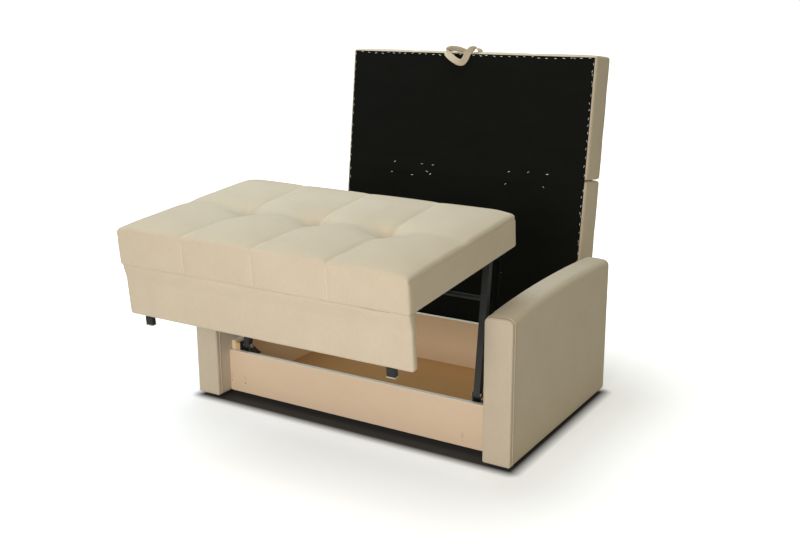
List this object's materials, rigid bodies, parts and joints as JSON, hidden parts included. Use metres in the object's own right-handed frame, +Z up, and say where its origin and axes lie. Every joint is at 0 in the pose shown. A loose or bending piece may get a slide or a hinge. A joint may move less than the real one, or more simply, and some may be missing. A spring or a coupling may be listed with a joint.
{
  "type": "storage sofa bed",
  "caption": "Storage sofa bed with its tufted seat raised on swing links above an open box and its two-part back unfolded upright behind it.",
  "frame": {"origin": "centre of the overall bounding box in X and Y, at floor level", "axes": "+X to the sitter's left arm, which is on the right seen from the front, +Y from the front to the back, +Z up"},
  "size_m": [1.414, 1.6268, 1.3817],
  "materials": {
    "cover_fabric": "woven upholstery fabric",
    "under_cloth": "black non-woven cloth",
    "frame_timber": "sawn softwood",
    "raw_board": "unpainted fibreboard",
    "black_steel": "black powder coat",
    "bare_steel": "zinc plated",
    "black_plastic": "moulded",
    "black_paint_wood": "black stain",
    "pale_plastic": "moulded, translucent"
  },
  "bodies": {
    "base": {"left_arm_cover": "cover_fabric", "right_arm_cover": "cover_fabric", "left_arm_frame": "frame_timber", "right_arm_frame": "frame_timber", "left_arm_front_panel": "cover_fabric", "right_arm_front_panel": "cover_fabric", "arm_glides": "black_plastic", "front_board": "raw_board", "left_side_board": "raw_board", "right_side_board": "raw_board", "rear_board": "raw_board", "floor_panel": "raw_board", "corner_battens": "frame_timber", "box_feet": "black_plastic", "left_base_bracket": "black_steel", "right_base_bracket": "black_steel", "bracket_bolts": "bare_steel", "left_hinge_plate": "black_steel", "right_hinge_plate": "black_steel", "back_pivot_pins": "bare_steel"},
    "front_links": {"left_front_link": "black_steel", "right_front_link": "black_steel", "link_cross_tube": "black_steel", "link_pivot_pins": "bare_steel", "seat_pivot_pins": "bare_steel"},
    "seat": {"seat_cushion": "cover_fabric", "seat_frame": "frame_timber", "seat_slats": "frame_timber", "seat_under_cloth": "under_cloth", "left_seat_bracket": "black_steel", "right_seat_bracket": "black_steel", "apron_cover": "cover_fabric", "apron_board": "raw_board", "seat_legs": "black_paint_wood", "leg_caps": "pale_plastic"},
    "rear_links": {"left_rear_link": "black_steel", "right_rear_link": "black_steel", "rear_link_pivot_pins": "bare_steel", "rear_link_top_pins": "bare_steel"},
    "lower_back": {"lower_back_cushion": "cover_fabric", "lower_back_frame": "frame_timber", "lower_back_slats": "frame_timber", "lower_back_under_cloth": "under_cloth", "lower_fold_straps": "under_cloth", "left_hinge_arm": "black_steel", "right_hinge_arm": "black_steel"},
    "upper_back": {"upper_back_cushion": "cover_fabric", "upper_back_frame": "frame_timber", "upper_back_slats": "frame_timber", "upper_back_under_cloth": "under_cloth", "upper_fold_straps": "under_cloth", "pull_strap": "cover_fabric"}
  },
  "joints": [
    {"name": "bed_swing", "type": "hinge", "parent": "base", "child": "front_links", "pos_m": [0, -0.2212, 0.218], "axis": [1, 0, 0], "range_deg": [0, 99.1]},
    {"name": "seat_turn", "type": "hinge", "parent": "front_links", "child": "seat", "pos_m": [0, -0.15754, 0.71494], "axis": [1, 0, 0], "range_deg": [-104.1, 0]},
    {"name": "rear_link_swing", "type": "hinge", "parent": "base", "child": "rear_links", "pos_m": [0, -0.17723, 0.21869], "axis": [1, 0, 0], "range_deg": [0, 99.7]},
    {"name": "back_tilt", "type": "hinge", "parent": "base", "child": "lower_back", "pos_m": [0, 0.5138, 0.221], "axis": [1, 0, 0], "range_deg": [0, 97]},
    {"name": "back_fold", "type": "hinge", "parent": "lower_back", "child": "upper_back", "pos_m": [0, 0.60231, 0.86503], "axis": [1, 0, 0], "range_deg": [0, 177.5], "deforming": ["pull_strap"]}
  ],
  "couplings": [
    {"joint": "seat_turn", "follows": "bed_swing", "ratio": -1.0494},
    {"joint": "rear_link_swing", "follows": "bed_swing", "ratio": 1.0044},
    {"joint": "back_tilt", "follows": "bed_swing", "ratio": 0.97784}
  ]
}
